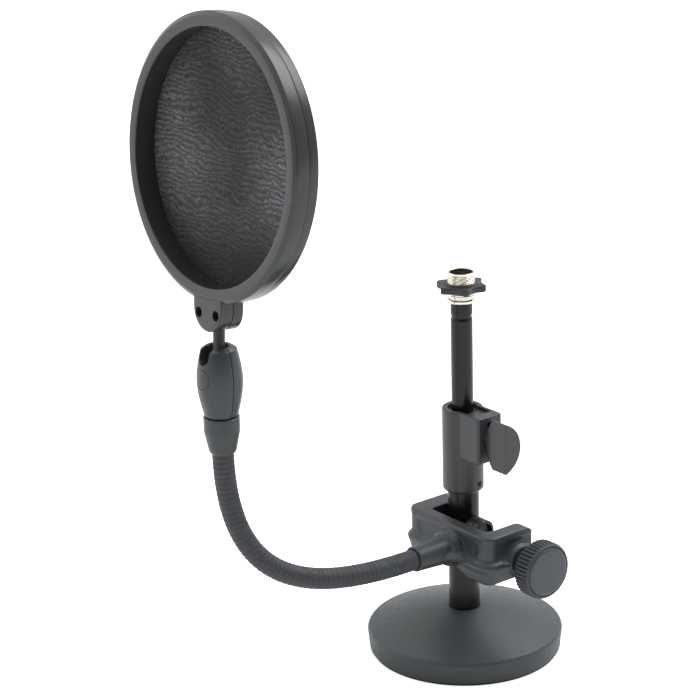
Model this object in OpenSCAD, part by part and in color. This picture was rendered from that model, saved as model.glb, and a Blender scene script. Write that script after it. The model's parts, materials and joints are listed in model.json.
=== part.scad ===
// Desktop pop filter: a double fabric screen on a gooseneck, clamped to a short weighted
// table stand with a height collar and a threaded microphone sleeve.
// Origin: centre of the base, on the surface that it stands on. +Z up, millimetres.
// The gooseneck leaves the clamp towards -X and the clamp screw points towards -Y.

/* [Base] */
// Radius of the weighted base at its rim
base_r = 57.8; // [54:0.1:62]
// Height of the rim's upper edge
base_rim_h = 14.2; // [12:0.1:16]
// Height of the base where the tube stands
base_top_h = 26.6; // [24:0.1:29]
// Thickness of the rubber pad under the base
pad_h = 1.2; // [0.8:0.1:2]

/* [Stand tubes] */
// Outer radius of the fixed lower tube
low_r = 9.15; // [9.1:0.01:9.2]
// Outer radius of the sliding upper tube
up_r = 6.35; // [6.3:0.01:6.4]
// Wall thickness of both tubes
tube_wall = 1.2; // [1:0.1:1.4]
// Height of the shoulder of the threaded sleeve
mast_top_z = 215.5; // [205:0.5:225]
// Length of the upper tube
up_len = 122; // [115:1:125]
// Outer radius of the microphone thread (5/8 inch)
thread_r = 7.94; // [7.9:0.01:7.96]
// Height of the threaded sleeve above its shoulder
thread_h = 17.5; // [16:0.5:20]

/* [Height collar] */
// Underside of the collar
collar_z = 100.6; // [98:0.1:103]
// Height of the collar
collar_h = 50.9; // [50:0.1:52]
// Outer radius of the collar
collar_r = 12; // [11.5:0.1:12.6]
// Height of the wing bolt's axis
wing_z = 137; // [136:0.1:138]
// Height of the wing
wing_h = 30.6; // [28:0.1:32]

/* [Clamp] */
// Underside of the clamp
clamp_z = 60; // [58:0.5:64]
// Height of the clamp
clamp_h = 29.5; // [28:0.5:30]
// Inside width of the jaw, from the fixed jaw face to the screw arm
jaw_w = 49; // [47:0.5:50]
// Thickness of the screw arm
arm_t = 9.2; // [8:0.1:10]
// Thickness of the fixed jaw
jaw_t = 13; // [11:0.5:14]
// Reach of the arms past the tube's axis
arm_reach = 11.6; // [11:0.1:13]
// Radius of the clamp knob
knob_r = 16.7; // [15:0.1:18]

/* [Gooseneck] */
// Outer radius of the ribbed sleeve
neck_r = 6.1; // [5.8:0.1:6.3]
// Where the gooseneck leaves the clamp
neck_root = [-52, -16.1, 75.4];
// Where the gooseneck meets the swivel collar
neck_top = [-160, 14.5, 161];
// How strongly the curve keeps its direction at the clamp
neck_root_pull = 71.5; // [65:0.5:78]
// How strongly the curve keeps its direction at the swivel
neck_top_pull = 85; // [78:0.5:92]

/* [Swivel] */
// Largest radius of the barrel housing
barrel_r = 12.7; // [12.4:0.1:13]
// Height of the ball's centre
ball_z = 215; // [214:0.5:216]
// Radius of the ball
ball_r = 6; // [5.6:0.1:6.2]
// Radius of the ball's post
post_r = 3.3; // [3:0.1:3.4]

/* [Filter] */
// Outer radius of the front ring
ring_r = 78; // [76:0.5:82]
// Radius of the opening
open_r = 69.5; // [68:0.5:70]
// Total thickness of the two rings
ring_t = 15.7; // [15:0.1:16.5]
// Distance from the ball to the middle of the filter
filter_reach = 108.3; // [107:0.1:110]
// Roll, backward tilt and turn of the filter at rest
filter_lean = [-4.7, 6.35, -1.08];

/* [Hidden] */

$fn = 64;
cut = 1;             // how far a cutting shape runs past the face it cuts
fit = 0.05;          // radial clearance of a running fit
black = "#2c2e30";
charcoal = "#3a3d3f";
steel = "#8b8d90";

// Base
base_foot_r = base_r - 1.3;
socket_z = base_top_h - 2.6;
bolt_r = 5;
bolt_head_r = 8;
bolt_head_h = 5;
washer_h = 1.6;
counterbore_r = 10;
counterbore_top = pad_h + 0.4 + bolt_head_h + washer_h;

// Stand tubes
low_bore = low_r - tube_wall;
up_bore = up_r - tube_wall;
low_top_z = 128;
plug_h = 10;
bolt_l = 27;          // shank below the head
mast_low_z = mast_top_z - up_len;
crimp_z = mast_top_z - 9;
flange_r = 8.4;
sleeve_bore = 6.65;
thread_pitch_r = 7.6; // the thread's mean radius, where the lock nut runs on it
nut_h = 4;
nut_top_z = mast_top_z + 6.7 + nut_h;
spigot_h = 12;

// Height collar
collar_top = collar_z + collar_h;
boss_w = 18.2;
boss_y = 24;
boss_z = 124;
brake_r = 4;
wing_bolt_r = 3;
wing_gap = 1;
wing_depth = 17;
wing_flat = 4.4;
wing_bulge = 7.3;
set_screw_r = 1.9;

// Clamp
clamp_top = clamp_z + clamp_h;
jaw_y = low_r + 0.1;
arm_b_y = jaw_y - jaw_w;
spine_in = 17.1;
spine_out = 24.3;
screw_z = clamp_z + 11;
screw_r = 4;
screw_nut_r = 6.5;
screw_seat_l = 3.2;    // boss on the outside of the screw arm
clamp_pad_r = 7;
clamp_pad_rise = 7.5; // from the screw's axis to the middle of each round end
clamp_pad_l = 11;
clamp_pad_wall = 1.8;
knob_back = arm_b_y - arm_t - 12.8;
knob_l = 11;
knob_teeth = 44;
knob_cap_r = knob_r - 2.3;
boss_mouth_r = 7.15;
boss_root_r = 8.4;

// Gooseneck
core_r = 4.6;
knuckle_r = 4.85;
sleeve_bore_r = 4.9;
neck_sides = 16;
neck_inset = 17;     // straight length held inside the clamp and inside the swivel collar
joint_t = [0.23, 0.48, 0.74];
joint_gap = 1.7;
top_turn = neck_top + [0, 0, -neck_top_pull];
root_turn = neck_root + [-neck_root_pull, 0, 0];

// Swivel
swivel_x = neck_top[0];
swivel_y = neck_top[1];
collar_taper_z = neck_top[2] + 12.5;
swivel_z = neck_top[2] + 21;
barrel_low = swivel_z + 0.7;
barrel_top = ball_z + 7;
seam = 0.3;
pivot_r = 4.5;
pivot_flange_r = 6;
clamp_screw_z = ball_z - 9.6;
barrel_cap_r = 5.5;
notch_half = 4;
notch_tilt = 79;      // how far the notch lets the post lean forward
exit_r = 5.8;

// Filter
front_x = -ring_t / 2;
front_t = 9;
rear_x = ring_t / 2;
wall = 2.1;
mesh_x = front_x + 12.8;
mesh_t = 0.25;
hoop_t = 1.3;
mesh_r = 74;
rear_r = ring_r - 0.7;
lug_top = 34;         // inside the ring's outer band
lug_screw_y = 7.8;
lug_screw_z = 24.75;
lug_head_r = 2.85;    // bore for the screw's head
lug_bore_top = 23;
flange_t = 2.3;       // the front face's flange, wider than the lug behind it

// ---------- shared shapes ----------

module ring(r_out, r_in, z0, z1) {
  difference() {
    translate([0, 0, z0]) cylinder(r = r_out, h = z1 - z0);
    translate([0, 0, z0 - cut]) cylinder(r = r_in, h = z1 - z0 + 2 * cut);
  }
}

// Lays a shape built along +Z down so that it runs from the origin towards -Y
module towards_minus_y(y, z) {
  translate([0, y, z]) rotate([90, 0, 0]) children();
}

// Lays a shape built along +Z down so that it runs towards +X
module towards_plus_x(x, y, z) {
  translate([x, y, z]) rotate([0, 90, 0]) children();
}

module hex_prism(r, h) {
  cylinder(r = r, h = h, $fn = 6);
}

module slab(x0, x1, y0, y1, z0, z1) {
  translate([x0, y0, z0]) cube([x1 - x0, y1 - y0, z1 - z0]);
}

// ---------- base ----------

// Height of the domed top at radius r, from the rim edge up to the tube
function dome(r) = base_rim_h + (base_top_h - base_rim_h) * (1 - pow((r - low_r) / (base_r - low_r), 1.45));

module base_plate() {
  steps = 14;
  rim_round = 1.6;
  color(charcoal) difference() {
    rotate_extrude() polygon(concat(
      [[0, pad_h], [base_foot_r - 1, pad_h], [base_foot_r, pad_h + 1], [base_r, base_rim_h - rim_round]],
      [for (i = [1:4]) let (a = i * 20)
        [base_r - rim_round * (1 - cos(a)), base_rim_h - rim_round * (1 - sin(a)) + i * 0.05]],
      [for (i = [1:steps]) let (r = base_r - 2 - (base_r - 2 - low_r - 0.8) * i / steps) [r, dome(r)]],
      [[0, base_top_h - 0.15]]));
    translate([0, 0, socket_z]) cylinder(r = low_r + 0.05, h = 10);
    cylinder(r = bolt_r + 0.3, h = base_top_h);
    translate([0, 0, -cut]) cylinder(r = counterbore_r, h = counterbore_top + cut);
  }
}

module base_pad() {
  color("#191a1b") cylinder(r = base_foot_r - 1.2, h = pad_h);
}

module base_bolt() {
  color(steel) difference() {
    union() {
      translate([0, 0, pad_h + 0.4]) cylinder(r = bolt_head_r, h = bolt_head_h);
      translate([0, 0, pad_h + bolt_head_h]) cylinder(r = bolt_r, h = bolt_l);
    }
    translate([0, 0, pad_h - cut]) hex_prism(4.6, 3.4 + cut);
  }
}

module base_washer() {
  color(steel) ring(counterbore_r - 0.6, bolt_r + 0.25, counterbore_top - washer_h, counterbore_top);
}

module tube_plug() {
  color(steel) ring(low_bore, bolt_r + 0.02, socket_z, socket_z + plug_h);
}

// ---------- stand tubes and height collar ----------

module lower_tube() {
  color(black) ring(low_r, low_bore, socket_z, low_top_z);
}

module collar_body() {
  chamfer = 1.4;
  pocket = 2;
  color(charcoal) difference() {
    union() {
      rotate_extrude() polygon([[0, collar_z], [collar_r - chamfer, collar_z],
        [collar_r, collar_z + chamfer], [collar_r, collar_top - 0.6],
        [collar_r - 0.6, collar_top], [0, collar_top]]);
      translate([0, 0, boss_z]) linear_extrude(collar_top - boss_z) union() {
        translate([-boss_w / 2, -boss_y + 1.5]) square([boss_w, boss_y]);
        translate([-boss_w / 2 + 1.5, -boss_y]) square([boss_w - 3, boss_y]);
        for (side = [-1, 1]) translate([side * (boss_w / 2 - 1.5), -boss_y + 1.5]) circle(r = 1.5);
      }
    }
    translate([0, 0, collar_z - cut]) cylinder(r = low_r + 0.05, h = low_top_z - collar_z + cut);
    translate([0, 0, low_top_z - cut]) cylinder(r = 8.6, h = collar_h);
    slab(-boss_w / 2 + 2.5, boss_w / 2 - 2.5, -boss_y + 7, 0, collar_top - pocket, collar_top + cut);
    towards_minus_y(0, wing_z) cylinder(r = brake_r + fit, h = 17);
    towards_minus_y(-16, wing_z) cylinder(r = wing_bolt_r + 0.3, h = 12);
    towards_minus_y(-boss_y + 5, wing_z) rotate([0, 0, 30]) cylinder(r = 5.6, h = 5 + cut, $fn = 6);
    towards_minus_y(-boss_y + 5, collar_top - 5.4) cylinder(r = 2.1, h = 5 + cut);
    rotate([0, 0, 10]) towards_minus_y(0, collar_z + 5.1) cylinder(r = set_screw_r, h = collar_r + cut);
  }
}

module collar_bush() {
  color("#151617") difference() {
    ring(8.6, up_r + fit, low_top_z, collar_top - 2.6);
    towards_minus_y(0, wing_z) cylinder(r = brake_r + fit, h = 10);
  }
}

module collar_set_screw() {
  color(black) rotate([0, 0, 10]) difference() {
    towards_minus_y(-low_r, collar_z + 5.1) cylinder(r = set_screw_r, h = 2);
    towards_minus_y(-low_r - 1, collar_z + 5.1) hex_prism(1, 1 + cut);
  }
}

module collar_nut() {
  color("#b08d4c") difference() {
    towards_minus_y(-boss_y + 5, wing_z) rotate([0, 0, 30]) hex_prism(5.6, 4.8);
    towards_minus_y(-boss_y + 6, wing_z) cylinder(r = wing_bolt_r + fit, h = 8);
  }
}

module brake_pad() {
  color("#c9c4b4") difference() {
    towards_minus_y(-up_r + 1, wing_z) cylinder(r = brake_r, h = 8.6);
    translate([0, 0, wing_z - 10]) cylinder(r = up_r + 0.08, h = 20);
    towards_minus_y(-11, wing_z) cylinder(r = wing_bolt_r + fit, h = 6);
  }
}

module wing_bolt() {
  color(steel) towards_minus_y(-11.05, wing_z)
    cylinder(r = wing_bolt_r, h = boss_y + wing_gap + 12 - 11.05);
}

module wing_knob() {
  back_y = -boss_y - wing_gap;
  wing_r = (pow(wing_h / 2, 2) + pow(wing_flat + wing_bulge, 2)) / 2 / (wing_flat + wing_bulge);
  belly_r = 24;
  color(charcoal) difference() {
    intersection() {
      towards_minus_y(back_y, wing_z) linear_extrude(wing_depth) intersection() {
        translate([wing_bulge - wing_r, 0]) circle(r = wing_r);
        translate([-wing_flat, -wing_h / 2]) square([wing_r, wing_h]);
      }
      translate([-20, back_y - belly_r, wing_z]) rotate([0, 90, 0]) cylinder(r = belly_r, h = 40);
    }
    towards_minus_y(back_y + cut, wing_z) cylinder(r = wing_bolt_r, h = 12 + cut);
  }
}

module tube_foot_bush() {
  color("#1d1e1f") difference() {
    translate([0, 0, mast_low_z - 2]) cylinder(r = low_bore - fit, h = 12);
    translate([0, 0, mast_low_z]) cylinder(r = up_r + fit, h = 12);
    translate([0, 0, mast_low_z - 2 - cut]) cylinder(r = 4.2, h = 6);
  }
}

module upper_tube() {
  groove = 0.35;
  color(black) difference() {
    ring(up_r, up_bore, mast_low_z + 0.05, mast_top_z);
    rotate_extrude() polygon([[up_r + cut, crimp_z - 1.2 - cut], [up_r - groove, crimp_z - 0.3],
      [up_r - groove, crimp_z + 0.3], [up_r + cut, crimp_z + 1.2 + cut]]);
  }
}

module thread_sleeve() {
  top = mast_top_z + thread_h;
  color("#cfcabb") difference() {
    rotate_extrude() polygon([[0, mast_top_z - spigot_h], [up_bore, mast_top_z - spigot_h],
      [up_bore, mast_top_z], [flange_r, mast_top_z], [flange_r, mast_top_z + 1.8],
      [7.3, mast_top_z + 2.4], [7.3, mast_top_z + 3.2], [flange_r - 0.3, mast_top_z + 3.4],
      [flange_r - 0.3, mast_top_z + 4.4], [thread_pitch_r, mast_top_z + 5],
      [thread_pitch_r, nut_top_z + 0.3], [thread_r, nut_top_z + 0.3], [thread_r, top - 0.8],
      [thread_r - 0.7, top], [0, top]]);
    translate([0, 0, mast_top_z + 2]) cylinder(r = sleeve_bore, h = thread_h);
    translate([0, 0, mast_top_z - spigot_h - cut]) cylinder(r = 3.6, h = spigot_h + 4);
  }
}

module lock_nut() {
  lobes = 6;
  points = 120;
  color(black) difference() {
    translate([0, 0, nut_top_z - nut_h]) linear_extrude(nut_h) polygon([for (i = [0:points - 1])
      let (a = i * 360 / points, r = 12.9 + 1.7 * cos(lobes * a)) [r * cos(a), r * sin(a)]]);
    translate([0, 0, mast_top_z]) cylinder(r = thread_pitch_r + fit, h = thread_h);
  }
}

// ---------- clamp ----------

// Plan of the clamp: a spine with two arms, grown outwards by `grow`
module clamp_plan(grow) {
  corner = 6 + grow;
  x0 = -spine_out - grow;
  y0 = arm_b_y - arm_t - grow;
  y1 = jaw_y + jaw_t + grow;
  difference() {
    union() {
      translate([x0 + corner, y0]) square([arm_reach - x0 - corner, y1 - y0]);
      translate([x0, y0 + corner]) square([corner + cut, y1 - y0 - 2 * corner]);
      for (y = [y0 + corner, y1 - corner]) translate([x0 + corner, y]) circle(r = corner);
    }
    translate([-spine_in, arm_b_y]) square([arm_reach + spine_in + cut, jaw_w]);
  }
}

// Side view of the clamp: square at the spine, rounded at the ends of the arms
module clamp_side() {
  round_r = 8;
  translate([-spine_out - 3, clamp_z]) square([arm_reach + spine_out + 3 - round_r, clamp_h]);
  translate([arm_reach - round_r - cut, clamp_z + round_r]) square([round_r + cut, clamp_h - 2 * round_r]);
  for (z = [clamp_z + round_r, clamp_top - round_r]) translate([arm_reach - round_r, z]) circle(r = round_r);
}

// One flat rib that runs from the boss down to the spine, at a slant
module boss_rib(slant) {
  translate([-spine_out + cut, neck_root[1], neck_root[2]]) rotate([slant, 0, 0])
    rotate([0, -90, 0]) linear_extrude(3.5) translate([-1.6, 0]) square([3.2, 19]);
}

module clamp_body() {
  belt_z = clamp_z + 12;
  color(charcoal) difference() {
    union() {
      intersection() {
        union() {
          translate([0, 0, clamp_z]) linear_extrude(clamp_h) clamp_plan(0);
          translate([0, 0, belt_z - 7]) linear_extrude(11) clamp_plan(1.4);
          translate([0, 0, belt_z - 2.5]) linear_extrude(4) clamp_plan(2.6);
        }
        translate([0, 60, 0]) rotate([90, 0, 0]) linear_extrude(160) clamp_side();
      }
      towards_plus_x(neck_root[0], neck_root[1], neck_root[2])
        cylinder(r1 = boss_mouth_r, r2 = boss_root_r, h = -spine_out - neck_root[0] + cut);
      for (slant = [35, 145, 215, 325]) boss_rib(slant);
      towards_minus_y(arm_b_y - arm_t + cut, screw_z) cylinder(r1 = 10.6, r2 = 9.2, h = screw_seat_l + cut);
    }
    towards_plus_x(neck_root[0] - cut, neck_root[1], neck_root[2])
      cylinder(r = neck_r + 0.02, h = neck_inset + cut);
    translate([0, 0, clamp_z - 18]) rotate([0, -90, 0]) translate([0, 0, spine_in - 3])
      translate([0, neck_root[1], 0]) cylinder(r = 22, h = 20);
    towards_minus_y(arm_b_y + cut, screw_z) cylinder(r = screw_r + 0.3, h = arm_t + 4 + cut);
    towards_minus_y(arm_b_y + cut, screw_z) cylinder(r = screw_nut_r, h = 6 + cut);
  }
}

module clamp_nut() {
  color("#b08d4c") difference() {
    towards_minus_y(arm_b_y, screw_z) cylinder(r = screw_nut_r - 0.02, h = 5.9);
    towards_minus_y(arm_b_y + cut, screw_z) cylinder(r = screw_r + fit, h = 8);
  }
}

// Upright oblong around the screw's axis, from y towards -Y
module oblong(r, y, l) {
  for (side = [-1, 1]) towards_minus_y(y, screw_z + side * clamp_pad_rise) cylinder(r = r, h = l);
  slab(-r, r, y - l, y, screw_z - clamp_pad_rise, screw_z + clamp_pad_rise);
}

// Block with a groove for the pole in front and a hollow for the screw's tip behind
module clamp_pad() {
  color(black) difference() {
    oblong(clamp_pad_r, -jaw_y + 1.2, clamp_pad_l);
    translate([0, 0, clamp_z - 10]) cylinder(r = jaw_y, h = clamp_h + 20);
    oblong(clamp_pad_r - clamp_pad_wall, -jaw_y - 4, clamp_pad_l);
  }
}

module clamp_screw() {
  tip_y = -jaw_y - 4.1;
  color(black) union() {
    towards_minus_y(tip_y, screw_z) cylinder(r = screw_r, h = tip_y - knob_back + 8);
    towards_minus_y(tip_y - 1, screw_z) cylinder(r = 5.1, h = 2.4);
  }
}

module clamp_knob() {
  hub_l = 9.1;        // reaches almost to the boss on the screw arm
  depth = 0.8;
  color(charcoal) difference() {
    union() {
      towards_minus_y(knob_back, screw_z) linear_extrude(knob_l - 1.6) polygon([
        for (i = [0:2 * knob_teeth - 1]) let (a = (i + 0.25 * pow(-1, i)) * 180 / knob_teeth,
          r = knob_r - depth * (i % 2)) [r * cos(a), r * sin(a)]]);
      towards_minus_y(knob_back - knob_l + 1.6, screw_z)
        cylinder(r1 = knob_r - 0.3, r2 = knob_r - 1.8, h = 1.6);
      towards_minus_y(knob_back + hub_l, screw_z) cylinder(r = 7.8, h = hub_l + cut);
    }
    towards_minus_y(knob_back + hub_l + cut, screw_z) cylinder(r = screw_r, h = hub_l + 8 + cut);
    towards_minus_y(knob_back - knob_l + 1.2, screw_z) cylinder(r = knob_cap_r + fit, h = 3);
  }
}

module knob_cap() {
  color("#565a63") towards_minus_y(knob_back - knob_l + 1.2, screw_z) union() {
    cylinder(r = knob_cap_r, h = 1.5);
    translate([0, 0, 1.5]) cylinder(r1 = knob_cap_r, r2 = knob_cap_r - 0.7, h = 0.5);
  }
}

// ---------- gooseneck ----------

function unit(v) = v / norm(v);

// Centre line from the clamp (0) to the swivel collar (1), carried on straight past both ends
function neck_at(t) = t < 0 ? neck_root - [t * neck_inset, 0, 0]
  : t > 1 ? neck_top + [0, 0, (t - 1) * neck_inset]
  : pow(1 - t, 3) * neck_root + 3 * pow(1 - t, 2) * t * root_turn
    + 3 * (1 - t) * t * t * top_turn + pow(t, 3) * neck_top;

// Direction of the centre line
function neck_dir(t) = t <= 0 ? [-1, 0, 0] : t >= 1 ? [0, 0, 1]
  : unit(pow(1 - t, 2) * (root_turn - neck_root) + 2 * (1 - t) * t * (top_turn - root_turn)
    + t * t * (neck_top - top_turn));

function neck_side(t) = unit(cross([0, 1, 0], neck_dir(t)));

// One ring of points around the centre line, moved `slip` along it
function neck_ring(t, r, slip) = let (d = neck_dir(t), u = neck_side(t), w = cross(d, u))
  [for (k = [0:neck_sides - 1]) let (a = k * 360 / neck_sides)
    neck_at(t) + slip * d + r * cos(a) * u + r * sin(a) * w];

// A bent tube or rod between two places on the centre line. Its ends are moved by slip0 and slip1.
module neck_sweep(t0, t1, r_out, r_in, slip0, slip1) {
  steps = 8;
  n = neck_sides;
  loops = r_in > 0 ? [r_out, r_in] : [r_out];
  place = [for (i = [0:steps]) t0 + (t1 - t0) * i / steps];
  slip = [for (i = [0:steps]) i == 0 ? slip0 : i == steps ? slip1 : 0];
  rings = [for (r = loops) for (i = [0:steps]) neck_ring(place[i], r, slip[i])];
  m = n * (steps + 1);
  skin = [for (i = [0:steps - 1]) for (k = [0:n - 1]) let (j = (k + 1) % n)
    [i * n + k, (i + 1) * n + k, (i + 1) * n + j, i * n + j]];
  bore = [for (i = [0:steps - 1]) for (k = [0:n - 1]) let (j = (k + 1) % n)
    [m + i * n + k, m + i * n + j, m + (i + 1) * n + j, m + (i + 1) * n + k]];
  rims = [for (k = [0:n - 1]) let (j = (k + 1) % n, e = steps * n) each [
    [k, j, m + j, m + k], [e + k, m + e + k, m + e + j, e + j]]];
  caps = [[for (k = [0:n - 1]) k], [for (k = [n - 1:-1:0]) steps * n + k]];
  polyhedron([for (g = rings) each g], concat(skin, r_in > 0 ? concat(bore, rims) : caps));
}

function neck_start(i) = i == 1 ? -1 : joint_t[i - 2];
function neck_end(i) = i == 4 ? 1.9 : joint_t[i - 1];

// Steel core of one rigid length, with a round knuckle where it hangs on the length before
module neck_core(i) {
  tip = i == 4 ? 0 : knuckle_r + 0.2;
  color(steel) union() {
    neck_sweep(neck_start(i), neck_end(i), core_r, 0, i == 1 ? 0 : 1, -tip);
    if (i > 1) translate(neck_at(neck_start(i))) sphere(r = knuckle_r);
  }
}

module neck_core_1() { neck_core(1); }
module neck_core_2() { neck_core(2); }
module neck_core_3() { neck_core(3); }
module neck_core_4() { neck_core(4); }

module neck_sleeve(i) {
  color("#333537") neck_sweep(neck_start(i), neck_end(i), neck_r, sleeve_bore_r,
    i == 1 ? 0 : joint_gap, i == 4 ? 0 : -joint_gap);
}

module neck_sleeve_1() { neck_sleeve(1); }
module neck_sleeve_2() { neck_sleeve(2); }
module neck_sleeve_3() { neck_sleeve(3); }
module neck_sleeve_4() { neck_sleeve(4); }

// ---------- swivel ----------

module at_swivel() {
  translate([swivel_x, swivel_y, 0]) children();
}

module swivel_collar() {
  z = neck_top[2];
  color(charcoal) at_swivel() difference() {
    rotate_extrude() polygon([[0, z], [boss_mouth_r, z], [boss_mouth_r + 0.5, z + 1],
      [10, collar_taper_z], [10, swivel_z - 0.4], [9.6, swivel_z], [pivot_r, swivel_z],
      [pivot_r, swivel_z + 5], [pivot_flange_r, swivel_z + 5], [pivot_flange_r, swivel_z + 7],
      [0, swivel_z + 7]]);
    translate([0, 0, z - cut]) cylinder(r = neck_r + 0.02, h = 0.9 * neck_inset + cut);
  }
}

// Outline of the barrel housing: radius at each height
function barrel(u) = u < 0.52
  ? 9.35 + (barrel_r - 9.35) * sin(90 * u / 0.52)
  : u < 0.92 ? barrel_r - 2.4 * pow((u - 0.52) / 0.4, 1.7)
  : barrel_r - 2.4 - 2.9 * (1 - sqrt(1 - pow((u - 0.92) / 0.08, 2)));

// Outside of the barrel housing, drawn in by `less`
module barrel_outside(less) {
  steps = 25;
  h = barrel_top - barrel_low;
  rotate_extrude() polygon(concat([[0, barrel_low]],
    [for (i = [0:steps]) [barrel(i / steps) - less, barrel_low + h * i / steps]], [[0, barrel_top]]));
}

module barrel_solid() {
  difference() {
    barrel_outside(0);
    translate([0, 0, ball_z]) sphere(r = ball_r + fit);
    translate([0, 0, ball_z + 2]) cylinder(r1 = 4, r2 = exit_r, h = barrel_top - ball_z - 2 + 0.01);
    translate([0, 0, barrel_low - cut]) cylinder(r = pivot_r + fit, h = 7);
    translate([0, 0, swivel_z + 4.6]) cylinder(r = pivot_flange_r + 0.3, h = 2.8);
    towards_plus_x(-20, 0, clamp_screw_z) cylinder(r = 2.1, h = 40);
    towards_plus_x(-20, 0, clamp_screw_z) cylinder(r = 4.1, h = 12.5);
    towards_plus_x(-20, 0, clamp_screw_z) cylinder(r = barrel_cap_r + 0.1, h = 9.3);
    towards_plus_x(6.5, 0, clamp_screw_z) hex_prism(4.05, 10);
  }
}

// The space that the post sweeps as it leans forward
module notch() {
  reach = 20;
  translate([0, notch_half, ball_z]) rotate([90, 0, 0]) linear_extrude(2 * notch_half)
    polygon([[-seam, 0], [-reach * sin(notch_tilt), reach * cos(notch_tilt)], [-reach, reach],
      [-seam, reach]]);
  translate([0, 0, ball_z]) rotate([0, -notch_tilt, 0]) cylinder(r = notch_half, h = reach);
}

module swivel_front() {
  color(charcoal) at_swivel() difference() {
    intersection() {
      barrel_solid();
      slab(-20, -seam / 2, -20, 20, barrel_low - cut, barrel_top + cut);
    }
    notch();
  }
}

module swivel_rear() {
  color(charcoal) at_swivel() intersection() {
    barrel_solid();
    slab(seam / 2, 20, -20, 20, barrel_low - cut, barrel_top + cut);
  }
}

module swivel_screw() {
  color(steel) at_swivel() difference() {
    union() {
      towards_plus_x(-7.5, 0, clamp_screw_z) cylinder(r = 2, h = 17);
      towards_plus_x(-10.1, 0, clamp_screw_z) cylinder(r = 3.8, h = 2.6);
    }
    towards_plus_x(-10.1 - cut, 0, clamp_screw_z) hex_prism(1.9, 1.6 + cut);
  }
}

module swivel_nut() {
  color(steel) at_swivel() difference() {
    towards_plus_x(6.5, 0, clamp_screw_z) hex_prism(4, 3.2);
    towards_plus_x(6, 0, clamp_screw_z) cylinder(r = 2.02, h = 5);
  }
}

// Round cover over the screw head, flush with the barrel
module swivel_cap() {
  color(charcoal) at_swivel() intersection() {
    towards_plus_x(-barrel_r, 0, clamp_screw_z) cylinder(r = barrel_cap_r, h = 1.9);
    barrel_outside(0.1);
  }
}

// ---------- ball stud and filter, built around the ball with the filter upright ----------

module at_ball() {
  translate([swivel_x, swivel_y, ball_z]) rotate(filter_lean) children();
}

module ball_stud() {
  color(steel) at_ball() union() {
    sphere(r = ball_r);
    cylinder(r = post_r, h = lug_bore_top - 1);
    translate([0, 0, lug_bore_top - 4]) cylinder(r = post_r + 1.2, h = 2);
  }
}

// Turns a section drawn as [radius, x] into a ring around the filter's axis
module filter_ring(section) {
  translate([0, 0, filter_reach]) rotate([0, 90, 0]) rotate_extrude($fn = 96) polygon(section);
}

// Lug below the ring, between two x planes, with a round lower end
module lug(x0, x1, half_width, centre_z) {
  translate([x0, 0, 0]) rotate([90, 0, 90]) linear_extrude(x1 - x0) union() {
    translate([0, centre_z]) circle(r = half_width);
    translate([-half_width, centre_z]) square([2 * half_width, lug_top - centre_z]);
  }
}

module lug_block(x0, x1) {
  lug(x0, x1, 11.3, 26.4);
}

// Everything that is cut out of both lug halves: the post's seat and the screw holes
module lug_bores() {
  translate([0, 0, ball_r]) cylinder(r = post_r + 0.02, h = lug_bore_top - ball_r);
  translate([0, 0, lug_bore_top - 4.1]) cylinder(r = post_r + 1.3, h = 2.2);
  for (side = [-1, 1]) {
    towards_plus_x(front_x - cut, side * lug_screw_y, lug_screw_z) cylinder(r = 1.6, h = ring_t + 2 * cut);
    towards_plus_x(front_x - cut, side * lug_screw_y, lug_screw_z) cylinder(r = lug_head_r, h = 5.5 + cut);
    towards_plus_x(rear_x - 3, side * lug_screw_y, lug_screw_z) hex_prism(3.2, 3 + cut);
  }
}

module lug_screws() {
  color(steel) at_ball() for (side = [-1, 1]) difference() {
    union() {
      towards_plus_x(front_x + 3.3, side * lug_screw_y, lug_screw_z) cylinder(r = 2.6, h = 2.2);
      towards_plus_x(front_x + 3.3, side * lug_screw_y, lug_screw_z) cylinder(r = 1.5, h = ring_t - 4);
    }
    towards_plus_x(front_x + 3.3 - cut, side * lug_screw_y, lug_screw_z) hex_prism(1.3, 1.2 + cut);
  }
}

module lug_nuts() {
  color(steel) at_ball() for (side = [-1, 1]) difference() {
    towards_plus_x(rear_x - 3, side * lug_screw_y, lug_screw_z) hex_prism(3.15, 2.4);
    towards_plus_x(rear_x - 4, side * lug_screw_y, lug_screw_z) cylinder(r = 1.52, h = 5);
  }
}

// Front half: flat face, outer band and the inner wall that presses on the screens, with its lug
module front_ring() {
  edge = 0.8;
  back = front_x + front_t;
  color(charcoal) at_ball() difference() {
    union() {
      filter_ring([[open_r, front_x + edge / 2], [open_r + edge / 2, front_x],
        [ring_r - edge, front_x], [ring_r, front_x + edge], [ring_r, back],
        [ring_r - wall, back], [ring_r - wall, front_x + wall], [open_r + wall, front_x + wall],
        [open_r + wall, mesh_x], [open_r, mesh_x]]);
      difference() {
        union() {
          lug(front_x, front_x + flange_t, 13.1, 28);
          lug_block(front_x + flange_t - 0.5, back);
        }
        filter_ring([[0, -20], [ring_r - wall, -20], [ring_r - wall, 20], [0, 20]]);
      }
    }
    lug_bores();
  }
}

// Rear half: outer band and the back face that the hoop rests on, with its lug
module rear_ring() {
  front = front_x + front_t + seam;
  rest_x = mesh_x + 2 * mesh_t + hoop_t;
  edge = 0.8;
  color(charcoal) at_ball() difference() {
    union() {
      filter_ring([[rear_r, front], [rear_r, rear_x - edge], [rear_r - edge, rear_x],
        [open_r, rear_x], [open_r, rest_x], [rear_r - wall, rest_x], [rear_r - wall, front]]);
      difference() {
        lug_block(front, rear_x);
        filter_ring([[0, -20], [rear_r - wall, -20], [rear_r - wall, 20], [0, 20]]);
      }
    }
    lug_bores();
  }
}

module screen(x) {
  color("#4a4c4f") at_ball() towards_plus_x(x, 0, filter_reach) cylinder(r = mesh_r, h = mesh_t);
}

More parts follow.
